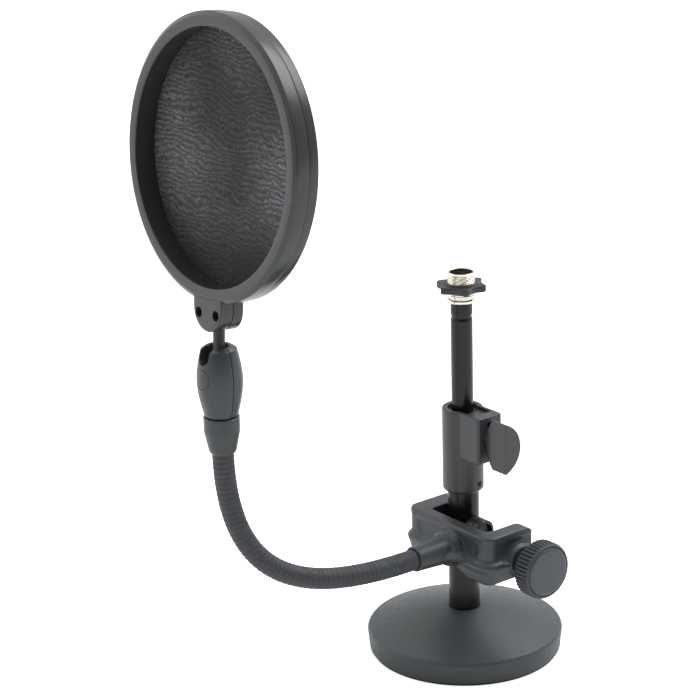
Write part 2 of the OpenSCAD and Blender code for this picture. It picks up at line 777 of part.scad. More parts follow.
module front_mesh() { screen(mesh_x); }
module rear_mesh() { screen(mesh_x + mesh_t + hoop_t); }

module mesh_hoop() {
  x = mesh_x + mesh_t;
  color(black) at_ball() filter_ring([[open_r + 0.4, x], [mesh_r, x], [mesh_r, x + hoop_t],
    [open_r + 0.4, x + hoop_t]]);
}

base_plate();
base_pad();
base_bolt();
base_washer();
tube_plug();
lower_tube();
collar_body();
collar_bush();
collar_set_screw();
collar_nut();
brake_pad();
wing_bolt();
wing_knob();
tube_foot_bush();
upper_tube();
thread_sleeve();
lock_nut();
clamp_body();
clamp_nut();
clamp_pad();
clamp_screw();
clamp_knob();
knob_cap();
neck_core_1();
neck_core_2();
neck_core_3();
neck_core_4();
neck_sleeve_1();
neck_sleeve_2();
neck_sleeve_3();
neck_sleeve_4();
swivel_collar();
swivel_front();
swivel_rear();
swivel_screw();
swivel_nut();
swivel_cap();
ball_stud();
front_ring();
rear_ring();
front_mesh();
rear_mesh();
mesh_hoop();
lug_screws();
lug_nuts();
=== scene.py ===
import json
from math import ceil, cos, pi, radians, sin, tan

import bmesh
import bpy
from mathutils import Matrix, Vector


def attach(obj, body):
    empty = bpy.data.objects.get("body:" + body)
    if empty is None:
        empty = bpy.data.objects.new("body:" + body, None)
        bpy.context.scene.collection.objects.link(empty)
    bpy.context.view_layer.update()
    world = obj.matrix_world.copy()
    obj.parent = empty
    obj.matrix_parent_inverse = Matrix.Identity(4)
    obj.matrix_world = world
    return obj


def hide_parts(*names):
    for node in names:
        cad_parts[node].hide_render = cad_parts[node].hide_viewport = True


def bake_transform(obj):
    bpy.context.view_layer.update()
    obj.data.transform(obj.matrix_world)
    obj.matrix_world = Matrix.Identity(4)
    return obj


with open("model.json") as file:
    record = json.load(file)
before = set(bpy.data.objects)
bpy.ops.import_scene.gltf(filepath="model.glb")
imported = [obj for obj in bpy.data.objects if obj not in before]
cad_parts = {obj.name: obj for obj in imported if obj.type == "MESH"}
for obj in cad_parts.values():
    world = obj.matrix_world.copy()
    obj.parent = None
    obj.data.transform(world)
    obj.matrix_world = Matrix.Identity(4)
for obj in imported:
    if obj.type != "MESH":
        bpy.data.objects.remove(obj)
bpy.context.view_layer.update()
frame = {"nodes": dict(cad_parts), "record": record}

MM = 0.001
scene = bpy.context.scene
NODES = frame["nodes"]

# ---------------------------------------------------------------- camera
# The camera stands to the left and in front of the object and looks down on it.
AZ, EL, ROLL = radians(38.2), radians(18.99), radians(-1.4455)
right0 = Vector((cos(AZ), -sin(AZ), 0))
back = Vector((-sin(AZ) * cos(EL), -cos(AZ) * cos(EL), sin(EL)))
up0 = back.cross(right0)
right = right0 * cos(ROLL) + up0 * sin(ROLL)
up = up0 * cos(ROLL) - right0 * sin(ROLL)
camera = bpy.data.objects.new("camera", bpy.data.cameras.new("camera"))
camera.data.lens, camera.data.sensor_width = 134.6, 36
camera.data.clip_start, camera.data.clip_end = 0.05, 60
camera.matrix_world = Matrix((right, up, back)).transposed().to_4x4()
camera.matrix_world.translation = Vector((-0.92750, -1.07496, 0.67552))
scene.collection.objects.link(camera)
scene.camera = camera
scene.view_settings.view_transform = "Standard"


# ---------------------------------------------------------------- materials
def node(tree, kind, inputs=None, **props):
    n = tree.nodes.new("ShaderNode" + kind)
    for key, value in props.items():
        setattr(n, key, value)
    for key, value in (inputs or {}).items():
        if isinstance(value, bpy.types.NodeSocket):
            tree.links.new(value, n.inputs[key])
        else:
            n.inputs[key].default_value = value
    return n


def rgb(c, k=1.0):
    return tuple(min(1, v * k) for v in c) + (1,)


def new_material(name):
    m = bpy.data.materials.new(name)
    m.use_nodes = True
    tree = m.node_tree
    tree.nodes.clear()
    out = node(tree, "OutputMaterial")
    shader = node(tree, "BsdfPrincipled")
    tree.links.new(shader.outputs[0], out.inputs[0])
    return m, tree, shader


def surface(name, colour, rough, grain=0.5, depth=0.02, vary=0.12, metal=0.0, specular=0.5,
            streak=1.0, edge_highlight=0.0, speck=0.0):
    """A moulded, painted or plated surface. grain is the texture's size and depth its height, in mm."""
    m, tree, shader = new_material(name)
    at = node(tree, "TexCoord").outputs["Object"]
    turned = node(tree, "Mapping", {"Vector": at, "Scale": (1, 1, 1 / streak)}).outputs[0]
    broad = node(tree, "TexNoise", {"Vector": at, "Scale": 38, "Detail": 3})
    fine = node(tree, "TexNoise", {"Vector": turned, "Scale": 1000 / grain, "Detail": 2})
    blotch = node(tree, "TexNoise", {"Vector": turned, "Scale": 260, "Detail": 3})
    tone = node(tree, "Mix", {"Factor": broad.outputs[0], "A": rgb(colour, 1 - vary),
                              "B": rgb(colour, 1 + vary)}, data_type="RGBA")
    shade = tone.outputs["Result"]
    if speck:
        dots = node(tree, "MapRange", {"Value": fine.outputs[0], "From Min": 0.56, "From Max": 0.72,
                                       "To Min": 0, "To Max": speck})
        shade = node(tree, "Mix", {"Factor": dots.outputs[0], "A": shade,
                                   "B": rgb(colour, 2.4)}, data_type="RGBA").outputs["Result"]
    # painted highlight: sharp edges, found by pointiness, are lightened towards twice the colour
    if edge_highlight:
        edge = node(tree, "MapRange", {"Value": node(tree, "NewGeometry").outputs["Pointiness"],
                                       "From Min": 0.515, "From Max": 0.6, "To Min": 0, "To Max": edge_highlight})
        shade = node(tree, "Mix", {"Factor": edge.outputs[0], "A": shade,
                                   "B": rgb(colour, 2.0)}, data_type="RGBA").outputs["Result"]
    tree.links.new(shade, shader.inputs["Base Color"])
    gloss = node(tree, "MapRange", {"Value": blotch.outputs[0], "From Min": 0.3, "From Max": 0.7,
                                    "To Min": rough * 0.88, "To Max": min(1, rough * 1.14)})
    tree.links.new(gloss.outputs[0], shader.inputs["Roughness"])
    bump = node(tree, "Bump", {"Height": fine.outputs[0], "Strength": 1, "Distance": depth * MM})
    tree.links.new(bump.outputs[0], shader.inputs["Normal"])
    shader.inputs["Metallic"].default_value = metal
    shader.inputs["Specular IOR Level"].default_value = specular
    return m


def knit(name, colour, pitch, skew, closed, bands):
    """Fine nylon knit: crossing threads with see-through gaps, painted glints of light on the fibres, and the
    wavy bands that two layers make.

    pitch is the spacing of the threads in mm, skew turns them, closed sets how much of the gap they fill,
    and bands is how far the wavy bands wander."""
    m, tree, shader = new_material(name)
    at = node(tree, "TexCoord").outputs["Object"]
    pull = node(tree, "TexNoise", {"Vector": at, "Scale": 22, "Detail": 2, "Roughness": 0.5})
    drift = node(tree, "VectorMath", {0: pull.outputs["Color"], 1: (0.5, 0.5, 0.5)},
                 operation="SUBTRACT")
    drift = node(tree, "VectorMath", {0: drift.outputs[0], "Scale": 0.0045}, operation="SCALE")
    place = node(tree, "VectorMath", {0: at, 1: drift.outputs[0]}, operation="ADD").outputs[0]
    flat = node(tree, "Mapping", {"Vector": place, "Rotation": (skew, 0, 0)}).outputs[0]
    part = node(tree, "SeparateXYZ", {0: flat})
    waves = []
    for axis in ("Y", "Z"):
        turn = node(tree, "Math", {0: part.outputs[axis], 1: 2 * pi / (pitch * MM)},
                    operation="MULTIPLY").outputs[0]
        waves.append(node(tree, "Math", {0: turn}, operation="SINE").outputs[0])
    weft, warp = waves
    top = node(tree, "Math", {0: weft, 1: warp}, operation="MAXIMUM").outputs[0]
    solid = node(tree, "MapRange", {"Value": top, "From Min": closed - 0.18, "From Max": closed + 0.18})
    # the bands run across the sheet and wander with the pull of the cloth
    wide = node(tree, "Mapping", {"Vector": at, "Scale": (1, 0.7, 1)}).outputs[0]
    wander = node(tree, "TexNoise", {"Vector": wide, "Scale": 48, "Detail": 4, "Roughness": 0.6})
    steps = node(tree, "Math", {0: wander.outputs[0], 1: bands}, operation="MULTIPLY").outputs[0]
    level = node(tree, "SeparateXYZ", {0: at}).outputs["Z"]
    phase = node(tree, "Math", {0: level, 1: 2100, 2: steps}, operation="MULTIPLY_ADD").outputs[0]
    wave = node(tree, "Math", {0: phase}, operation="SINE").outputs[0]
    band = node(tree, "MapRange", {"Value": wave, "From Min": -0.8, "From Max": 1.0,
                                   "To Min": 0.42, "To Max": 1})
    # painted highlight: fine glints of light on the fibres, shown in the wavy bands and in broad patches,
    # lighten the knit's colour up to 44 times
    glint_noise = node(tree, "TexNoise", {"Vector": at, "Scale": 1900, "Detail": 2})
    glint = node(tree, "MapRange", {"Value": glint_noise.outputs[0], "From Min": 0.42, "From Max": 0.66,
                                    "To Min": 0, "To Max": 1})
    patch = node(tree, "TexNoise", {"Vector": at, "Scale": 16, "Detail": 1})
    glint_patches = node(tree, "MapRange", {"Value": patch.outputs[0], "From Min": 0.36, "From Max": 0.62,
                                    "To Min": 0.25, "To Max": 1})
    light = node(tree, "Math", {0: glint.outputs[0], 1: band.outputs[0]}, operation="MULTIPLY").outputs[0]
    light = node(tree, "Math", {0: light, 1: glint_patches.outputs[0]}, operation="MULTIPLY").outputs[0]
    # painted shade: low on the screen, where less light falls, the painted glints and their bands dim, between
    # these two heights in metres
    fade = node(tree, "MapRange", {"Value": level, "From Min": 0.265, "From Max": 0.315,
                                   "To Min": 0.30, "To Max": 1}, interpolation_type="SMOOTHSTEP")
    light = node(tree, "Math", {0: light, 1: fade.outputs[0]}, operation="MULTIPLY").outputs[0]
    shade = node(tree, "Mix", {"Factor": light, "A": rgb(colour), "B": rgb(colour, 44)}, data_type="RGBA")
    tree.links.new(shade.outputs["Result"], shader.inputs["Base Color"])
    tree.links.new(solid.outputs[0], shader.inputs["Alpha"])
    bump = node(tree, "Bump", {"Height": top, "Strength": 0.8, "Distance": 0.1 * MM})
    tree.links.new(bump.outputs[0], shader.inputs["Normal"])
    shader.inputs["Roughness"].default_value = 0.55
    shader.inputs["Specular IOR Level"].default_value = 0.25
    return m


MAT = {
    "base_coat": surface("base_coat", (0.034, 0.039, 0.042), 0.44, grain=0.45, depth=0.022, vary=0.04,
                         edge_highlight=0.1, speck=0.25),
    "foot_rubber": surface("foot_rubber", (0.018, 0.018, 0.019), 0.75, grain=0.8, depth=0.05),
    "zinc_steel": surface("zinc_steel", (0.55, 0.55, 0.53), 0.32, grain=0.3, depth=0.01, metal=1),
    "black_steel": surface("black_steel", (0.030, 0.031, 0.033), 0.40, grain=0.25, depth=0.012, edge_highlight=0.2),
    "core_steel": surface("core_steel", (0.40, 0.40, 0.41), 0.38, grain=0.3, depth=0.01, metal=1),
    "tube_lacquer": surface("tube_lacquer", (0.006, 0.0062, 0.0066), 0.22, grain=1.4, depth=0.002,
                            vary=0.1, specular=0.32, streak=3),
    "collar_coat": surface("collar_coat", (0.027, 0.030, 0.033), 0.36, grain=0.35, depth=0.020,
                           edge_highlight=0.25, speck=0.10),
    "bush_plastic": surface("bush_plastic", (0.014, 0.014, 0.015), 0.5, grain=0.4, depth=0.02),
    "brake_plastic": surface("brake_plastic", (0.55, 0.52, 0.45), 0.45, grain=0.5, depth=0.02),
    "brass": surface("brass", (0.62, 0.46, 0.20), 0.30, grain=0.25, depth=0.01, metal=1),
    "nickel": surface("nickel", (0.74, 0.70, 0.62), 0.17, grain=0.35, depth=0.006, vary=0.06, metal=1),
    "nut_plastic": surface("nut_plastic", (0.014, 0.014, 0.015), 0.40, grain=0.3, depth=0.03, edge_highlight=0.3),
    "clamp_plastic": surface("clamp_plastic", (0.031, 0.035, 0.039), 0.42, grain=0.35, depth=0.020,
                             edge_highlight=0.25, speck=0.10),
    "cap_plastic": surface("cap_plastic", (0.043, 0.048, 0.060), 0.38, grain=0.4, depth=0.008, vary=0.06),
    "neck_rubber": surface("neck_rubber", (0.027, 0.030, 0.034), 0.58, grain=0.4, depth=0.035,
                           vary=0.1, speck=0.12),
    "swivel_plastic": surface("swivel_plastic", (0.027, 0.031, 0.034), 0.34, grain=0.35, depth=0.018,
                              edge_highlight=0.2, speck=0.10),
    "ring_plastic": surface("ring_plastic", (0.024, 0.026, 0.028), 0.24, grain=0.5, depth=0.003,
                            vary=0.06),
    "screen_front": knit("screen_front", (0.010, 0.010, 0.0105), 0.52, 0.05, 0.06, 40),
    "screen_rear": knit("screen_rear", (0.010, 0.010, 0.0105), 0.56, -0.03, 0.06, 46),
}


# ---------------------------------------------------------------- mesh tools (all in millimetres)
def piece(name, verts, faces, mat, place=None):
    mesh = bpy.data.meshes.new(name)
    place = place or Matrix.Identity(4)
    mesh.from_pydata([(place @ Vector(v)) * MM for v in verts], [], faces)
    ob = bpy.data.objects.new(name, mesh)
    scene.collection.objects.link(ob)
    mesh.materials.append(MAT[mat])
    tidy(ob)
    return ob


def tidy(ob):
    """Merges doubled points and turns every face outwards."""
    bm = bmesh.new()
    bm.from_mesh(ob.data)
    bmesh.ops.remove_doubles(bm, verts=bm.verts, dist=1e-6)
    bmesh.ops.recalc_face_normals(bm, faces=bm.faces)
    bm.to_mesh(ob.data)
    bm.free()


def shaded(ob, angle=32):
    ob.data.shade_smooth()
    ob.data.set_sharp_from_angle(angle=radians(angle))
    return ob


def settle(ob):
    """Applies the object's modifiers."""
    graph = bpy.context.evaluated_depsgraph_get()
    graph.update()
    mesh = bpy.data.meshes.new_from_object(ob.evaluated_get(graph))
    ob.modifiers.clear()
    old = ob.data
    ob.data = mesh
    bpy.data.meshes.remove(old)


def combine(ob, others, how):
    """Joins others to ob (UNION) or cuts them out of it (DIFFERENCE)."""
    for other in others:
        m = ob.modifiers.new("b", "BOOLEAN")
        m.operation, m.object, m.solver = how, other, "EXACT"
        settle(ob)
        mesh = other.data
        bpy.data.objects.remove(other)
        bpy.data.meshes.remove(mesh)
    keep = ob.data.materials[0]
    ob.data.materials.clear()
    ob.data.materials.append(keep)


def melt(ob, voxel, passes):
    """Rounds every edge: a fine even mesh over the whole solid, then smoothed."""
    m = ob.modifiers.new("r", "REMESH")
    m.mode, m.voxel_size, m.use_smooth_shade = "VOXEL", voxel * MM, True
    m = ob.modifiers.new("s", "SMOOTH")
    m.factor, m.iterations = 0.5, passes
    settle(ob)
    ob.data.shade_smooth()
    return ob


def from_node(name, source, mat):
    """A piece that starts as a copy of a CAD node's mesh."""
    mesh = NODES[source].data.copy()
    ob = bpy.data.objects.new(name, mesh)
    scene.collection.objects.link(ob)
    mesh.materials.clear()
    mesh.materials.append(MAT[mat])
    tidy(ob)
    return ob


def fillet(points, steps=4):
    """Rounds the corners of a closed outline. Each point is (a, b) or (a, b, radius)."""
    out, n = [], len(points)
    for i in range(n):
        p = Vector(points[i][:2])
        r = points[i][2] if len(points[i]) > 2 else 0
        a, b = Vector(points[i - 1][:2]) - p, Vector(points[(i + 1) % n][:2]) - p
        between = a.angle(b)
        if r <= 0 or between > pi - 0.02:
            out.append(tuple(p))
            continue
        d = min(r / tan(between / 2), a.length * 0.49, b.length * 0.49)
        r = d * tan(between / 2)
        centre = p + (a.normalized() + b.normalized()).normalized() * (r / sin(between / 2))
        v0, v1 = p + a.normalized() * d - centre, p + b.normalized() * d - centre
        turn = pi - between
        for k in range(steps + 1):
            t = k / steps
            out.append(tuple(centre + (v0 * sin((1 - t) * turn) + v1 * sin(t * turn)) / sin(turn)))
    return out


def spin(name, profile, mat, n=128, place=None, change=None, steps=4):
    """Turns a closed (r, z) profile about Z. change(r, z, angle) gives the radius at an angle."""
    loop = fillet(profile, steps) if steps else [p[:2] for p in profile]
    m, verts, faces = len(loop), [], []
    for k in range(n):
        a = 2 * pi * k / n
        for r, z in loop:
            q = change(r, z, a) if change else r
            verts.append((q * cos(a), q * sin(a), z))
    for k in range(n):
        j = (k + 1) % n
        for i in range(m):
            h = (i + 1) % m
            if loop[i][0] < 1e-6 and loop[h][0] < 1e-6:
                continue
            faces.append((k * m + i, j * m + i, j * m + h, k * m + h))
    return piece(name, verts, faces, mat, place)


def loft(name, levels, mat, place=None):
    """Skins outlines that all have the same number of points. Each level is a list of 3-D points."""
    m = len(levels[0])
    verts = [p for level in levels for p in level]
    faces = [(k * m + i, k * m + (i + 1) % m, (k + 1) * m + (i + 1) % m, (k + 1) * m + i)
             for k in range(len(levels) - 1) for i in range(m)]
    faces += [tuple(range(m))[::-1], tuple(range((len(levels) - 1) * m, len(levels) * m))]
    return piece(name, verts, faces, mat, place)


def inset(outline, d):
    """Moves each edge of an anticlockwise outline inwards by d."""
    n, out = len(outline), []
    for i in range(n):
        p = Vector(outline[i])
        a, b = (p - Vector(outline[i - 1])).normalized(), (Vector(outline[(i + 1) % n]) - p).normalized()
        na, nb = Vector((-a.y, a.x)), Vector((-b.y, b.x))
        mid = (na + nb).normalized()
        out.append(tuple(p + mid * (d / max(0.5, mid.dot(na)))))
    return out


def plate(name, outline, lo, hi, edge, mat, place=None, steps=3):
    """A flat solid between z = lo and z = hi with rounded rims."""
    turns = [i * pi / 2 / steps for i in range(steps + 1)]
    rims = [(lo, 1, t) for t in turns[::-1]] + [(hi, -1, t) for t in turns]
    levels = [[(x, y, z + side * edge * (1 - sin(t))) for x, y in inset(outline, edge * (1 - cos(t)))]
              for z, side, t in rims]
    return loft(name, levels, mat, place)


def hull(name, points, mat):
    """The smallest solid with flat faces round some points."""
    bm = bmesh.new()
    for p in points:
        bm.verts.new(Vector(p) * MM)
    bmesh.ops.convex_hull(bm, input=bm.verts)
    loose = [v for v in bm.verts if not v.link_faces]
    bmesh.ops.delete(bm, geom=loose, context="VERTS")
    mesh = bpy.data.meshes.new(name)
    bm.to_mesh(mesh)
    bm.free()
    mesh.materials.append(MAT[mat])
    ob = bpy.data.objects.new(name, mesh)
    scene.collection.objects.link(ob)
    return ob


def rod(r, z0, z1, place, r2=None, n=48):
    """A plain round bar, or a cone if r2 is given, for cutting."""
    r2 = r if r2 is None else r2
    return spin("cut", [(0, z0), (r, z0), (r2, z1), (0, z1)], "brass", n=n, place=place, steps=0)


def minus_y(y=0, z=0):
    """Lays +Z down along -Y, starting at y."""
    return Matrix.Translation((0, y, z)) @ Matrix.Rotation(pi / 2, 4, "X")


def plus_x(x=0, y=0, z=0):
    return Matrix.Translation((x, y, z)) @ Matrix.Rotation(pi / 2, 4, "Y")


def minus_x(x=0, y=0, z=0):
    return Matrix.Translation((x, y, z)) @ Matrix.Rotation(-pi / 2, 4, "Y")


def done(ob, body, slot, *nodes):
    """Hangs a finished piece on its body and hides the CAD nodes that it stands for."""
    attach(ob, body)
    if nodes:
        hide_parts(*nodes)


# ---------------------------------------------------------------- base
LOW_R, UP_R, WALL = 9.15, 6.35, 1.2
BASE_R, FOOT_R, RIM_Z, TOP_Z = 57.8, 56.5, 14.2, 26.6


def dome(r):
    """Height of the base's top at radius r."""
    return RIM_Z + (TOP_Z - RIM_Z) * (1 - ((r - LOW_R) / (BASE_R - LOW_R)) ** 1.45)


CROWN_IN, CROWN_OUT, CROWN_STEPS = 9.95, 54.5, 36
crown = [CROWN_IN + (CROWN_OUT - CROWN_IN) * i / CROWN_STEPS for i in range(CROWN_STEPS, -1, -1)]
top = [(r, dome(r)) for r in crown]
base = spin("base", [(10, 1.2, 0.4), (FOOT_R, 1.2, 1.0), (BASE_R - 0.05, RIM_Z - 1.0, 1.9)]
            + [(56.6, dome(56.2), 1.0)] + top
            + [(9.22, 26.5, 0.2), (9.22, 24), (5.3, 24), (5.3, 8.2), (10, 8.2)],
            "base_coat", n=224)
done(shaded(base, 40), "stand", "base_coat", "base_plate")

# ---------------------------------------------------------------- tubes
low = spin("lower_tube_shell", [(LOW_R, 24), (LOW_R, 128, 0.4), (LOW_R - WALL, 128, 0.4), (LOW_R - WALL, 24)],
           "tube_lacquer", n=112)
done(shaded(low), "stand", "tube_lacquer", "lower_tube")
CRIMP, GROOVE = 206.5, 0.42
MAST_LOW, MAST_TOP = 93.6, 215.45
upper_section = [
    (UP_R, MAST_LOW, 0.4), (UP_R, CRIMP - 1.9, 0.8), (UP_R - GROOVE, CRIMP - 0.35, 0.5),
    (UP_R - GROOVE, CRIMP + 0.35, 0.5), (UP_R, CRIMP + 1.9, 0.8), (UP_R, MAST_TOP, 0.3),
    (UP_R - WALL, MAST_TOP), (UP_R - WALL, MAST_LOW, 0.4)]
upper = spin("upper_tube_shell", upper_section, "tube_lacquer", n=112)
done(shaded(upper, 50), "mast", "tube_lacquer", "upper_tube")

# ---------------------------------------------------------------- threaded sleeve and lock nut
PITCH = 0.94
THREAD_LOW, THREAD_HIGH = 220.6, 232.2


def saw(v):
    """A rounded thread form: 0 at the root and 1 at the crest."""
    t = abs((v % 1) * 2 - 1)
    return min(1, max(0, 1.35 * t - 0.12))


def mic_thread(r, z, a):
    """The microphone thread, cut into the sleeve and run out at both ends."""
    if r < 7.4 or not THREAD_LOW < z < THREAD_HIGH:
        return r
    fade = min(1, (z - THREAD_LOW) / 0.8, (THREAD_HIGH - z) / 0.6)
    return r - 0.5 * fade * (1 - saw(z / PITCH - a / (2 * pi)))


rows = 120
first = 220.5
thread = [(7.9, first + (THREAD_HIGH - first) * i / rows) for i in range(rows + 1)]
below = [(3.6, 203.5), (5.1, 203.5), (5.1, 215.4), (8.1, 215.5), (8.4, 215.8), (8.4, 217.0), (8.1, 217.3),
         (7.3, 217.9), (7.2, 218.7), (7.9, 218.9), (8.1, 219.1), (8.1, 219.8), (7.9, 220.1)]
above = [(7.2, 233.0), (6.95, 233.0), (6.65, 232.7), (6.65, 217.5), (3.6, 217.5)]
sleeve = spin("thread_sleeve_turned", below + thread + above, "nickel", n=112, change=mic_thread, steps=0)
done(shaded(sleeve, 28), "mast", "nickel", "thread_sleeve")


def lobed(a):
    """Radius of the lock nut at angle a."""
    return 12.9 + 1.7 * cos(6 * a) + 0.22 * cos(12 * a)


angles = [2 * pi * i / 168 for i in range(168)]
lobes = [(lobed(a) * cos(a), lobed(a) * sin(a)) for a in angles]
nut = plate("lock_nut_lobed", lobes, 222.2, 226.2, 0.7, "nut_plastic", steps=4)
collar_ring = spin("cut", [(7, 225.6), (10.4, 225.6), (10.0, 226.75, 0.3), (8.6, 226.75, 0.2), (7, 226.6)],
                   "nut_plastic", n=96)
combine(nut, [collar_ring], "UNION")
combine(nut, [rod(8.0, 221, 228, None, n=96)], "DIFFERENCE")
done(shaded(nut), "lock_nut", "nut_plastic", "lock_nut")

# ---------------------------------------------------------------- height collar and wing knob
collar = melt(from_node("collar", "collar_body", "collar_coat"), 0.4, 3)
done(collar, "stand", "collar_coat", "collar_body")
wing = melt(from_node("wing_grip", "wing_knob", "collar_coat"), 0.4, 5)
done(wing, "wing", "collar_coat", "wing_knob")

# ---------------------------------------------------------------- clamp
ROOT = Vector((-52, -16.1, 75.4))
TOP = Vector((-160, 14.5, 161))
# The tube's axis is at x = 0, y = 0: the fixed jaw starts at JAW_Y, and the screw's arm ends at ARM_B_Y.
JAW_Y, ARM_B_Y, REACH, SPINE_IN, SPINE_OUT = 9.25, -39.75, 11.6, -17.1, -24.3
JAW_OUT, ARM_OUT = JAW_Y + 13, ARM_B_Y - 9.2
BOTTOM, CLAMP_TOP, SCREW_Z = 60, 89.5, 71


def clamp_plan(z, grow):
    """The clamp's C-shaped outline at the height z, with its outer faces moved out by grow."""
    y0, y1 = ARM_OUT - grow, JAW_OUT + grow
    x0 = SPINE_OUT - grow
    outline = fillet([(REACH, y0, 4.5), (REACH, ARM_B_Y, 0.8), (SPINE_IN, ARM_B_Y, 5), (SPINE_IN, JAW_Y, 2.5),
                      (REACH, JAW_Y, 0.8), (REACH, y1, 4.5), (x0, y1, 6 + grow), (x0, y0, 6 + grow)], 6)
    return [(x, y, z) for x, y in outline]


clamp = loft("clamp", [clamp_plan(z, g) for z, g in (
    (BOTTOM, -1.6), (60.5, -0.7), (61.6, 0), (64.4, 0.6), (67.4, 1.2), (70.0, 2.3), (71.8, 2.6), (73.0, 2.1),
    (74.2, 0.8), (75.4, 0), (84.6, 0), (85.6, 0.35), (88.6, 0.35), (89.3, -0.1), (CLAMP_TOP, -0.7))],
    "clamp_plastic")


def scoop(a, b, r):
    """A round-ended bar from a to b, for hollowing a face."""
    a, b = Vector(a), Vector(b)
    turn = Vector((0, 0, 1)).rotation_difference(b - a).to_matrix().to_4x4()
    reach = (b - a).length
    arc = [(r * cos(i * pi / 24), r * sin(i * pi / 24)) for i in range(1, 12)]
    outline = ([(0, -r)] + [(q, -v) for q, v in arc[::-1]] + [(r, 0), (r, reach)]
               + [(q, reach + v) for q, v in arc] + [(0, reach + r)])
    return spin("cut", outline, "brass", n=48, place=Matrix.Translation(a) @ turn, steps=0)


# the soft hollow along each outer face
HOLLOW, DEPTH = 10.5, 1.5
screw_side, jaw_side = ARM_OUT - HOLLOW + DEPTH, JAW_OUT + HOLLOW - DEPTH
spine_side = SPINE_OUT - HOLLOW + 1.2
combine(clamp, [scoop((-11, screw_side, 79.9), (30, screw_side, 79.9), HOLLOW),
                scoop((-11, jaw_side, 79.9), (30, jaw_side, 79.9), HOLLOW),
                scoop((spine_side, -36, 80), (spine_side, 9, 80), HOLLOW)], "DIFFERENCE")
boss = spin("cut", [(0, -3), (12, -3), (11.4, 1.0, 0.8), (10.3, 4.8, 1.0), (9.0, 5.6, 0.4), (8.2, 6.0, 0.3),
                    (8.5, 6.9, 0.4), (7.25, 26.2, 0.5), (7.5, 26.8, 0.4), (7.4, 27.7, 0.3), (0, 27.7)],
            "clamp_plastic", n=72, place=minus_x(SPINE_OUT, ROOT.y, ROOT.z))
seat = spin("cut", [(0, -3), (11, -3), (10.6, 0.2, 0.8), (9.4, 2.4, 0.8), (9.2, 3.2, 0.5), (0, 3.2)],
            "clamp_plastic", n=64, place=minus_y(ARM_OUT, SCREW_Z))
# the ribs from the spine to the gooseneck's boss
webs = []
for side in (-1, 1):
    y = ROOT.y
    near, mid, far = y + side * 5.5, y + side * 17.5, y + side * 19.5
    corners = [(-41, near, 75.0), (-27, mid, 72.4), (-23, far, 72.4), (-23, y, 84), (-30, y, 83), (-41, y, 79),
               (-41, y, 70.5), (-30, y, 67), (-23, y, 66)]
    webs.append(hull("cut", corners, "clamp_plastic"))
combine(clamp, [boss, seat] + webs, "UNION")
# the gooseneck's socket, the underside's arch, the screw's bore and the brass insert's seat
cutters = [rod(6.12, -1, 17, plus_x(ROOT.x, ROOT.y, ROOT.z)),
           rod(21.2, 0, 14, minus_x(-14, -16.2, 42), r2=24.4, n=72),
           rod(4.3, -1, 15, minus_y(ARM_B_Y, SCREW_Z)),
           rod(6.5, -1, 6, minus_y(ARM_B_Y, SCREW_Z))]
# seen from the side, the ends of both arms are rounded
ROUND = 8
quarter = [i * pi / 16 for i in range(9)]
for y in (JAW_Y + 6.5, ARM_B_Y - 4.6):
    for z, s in ((BOTTOM, 1), (CLAMP_TOP, -1)):
        corner = [(REACH - ROUND + ROUND * sin(a), z + s * (ROUND - ROUND * cos(a))) for a in quarter]
        rim = corner + [(REACH + 3, z + s * ROUND), (REACH + 3, z - s * 3), (REACH - ROUND, z - s * 3)]
        if s < 0:
            rim = rim[::-1]
        ends = [[(x, y + d, v) for x, v in rim] for d in (-10.5, 10.5)]
        cutters.append(loft("cut", ends, "clamp_plastic"))
combine(clamp, cutters, "DIFFERENCE")
melt(clamp, 0.42, 5)
done(clamp, "clamp", "clamp_plastic", "clamp_body")


PAD_HALF, PAD_NEAR, PAD_FAR = 7.5, 8.05, 19.05


def oblong(r):
    """The pad's upright outline: two half circles joined by straight sides."""
    return [(r * cos(i * pi / 16), PAD_HALF * side + r * sin(i * pi / 16))
            for side, span in ((1, range(17)), (-1, range(16, 33))) for i in span]


pad = plate("clamp_pad_block", oblong(7), PAD_NEAR, PAD_FAR, 0.7, "nut_plastic", place=minus_y(0, SCREW_Z))
dish = plate("cut", oblong(5.2), 16.2, 21, 0.8, "nut_plastic", place=minus_y(0, SCREW_Z))
# a shallow groove all round the block
step = plate("cut", oblong(9), 13.6, 14.3, 0.3, "nut_plastic", place=minus_y(0, SCREW_Z))
core = plate("cut", oblong(6.55), 12, 16, 0.3, "nut_plastic", place=minus_y(0, SCREW_Z))
combine(step, [core], "DIFFERENCE")
tip_hole = rod(5.3, 12.3, 18, minus_y(0, SCREW_Z))
pole = rod(JAW_Y, 50, 92, None, n=96)
combine(pad, [dish, tip_hole, pole, step], "DIFFERENCE")
done(shaded(pad, 40), "jaw", "clamp_plastic", "clamp_pad")

SCREW_PITCH = 1.25
SCREW_FIRST, SCREW_LAST = 15.5, 61.4


def screw_thread(r, z, a):
    """The clamp screw's thread, run out at both ends."""
    if r < 3.9 or not SCREW_FIRST < z < SCREW_LAST:
        return r
    fade = min(1, (z - SCREW_FIRST) / 1.2, (SCREW_LAST - z) / 1.2)
    return r - 0.55 * fade * (1 - saw(z / SCREW_PITCH - a / (2 * pi)))


shank_r, shank_low, shank_high, rows = 3.98, 15.2, 61.6, 300
shank = [(shank_r, shank_low + (shank_high - shank_low) * i / rows) for i in range(rows + 1)]
tip = [(0, 12.35), (4.8, 12.35), (5.1, 12.65), (5.1, 14.4), (4.8, 14.7), (shank_r, 14.7)]
screw = spin("clamp_screw_threaded", tip + shank + [(shank_r, 70.6), (0, 70.6)], "black_steel", n=56,
             place=minus_y(0, SCREW_Z), change=screw_thread, steps=0)
done(shaded(screw, 28), "spindle", "black_steel", "clamp_screw")

TEETH = 44
KNOB_Y, KNOB_R = -61.75, 16.7
TEETH_LOW, TEETH_HIGH = 0.4, 10.2


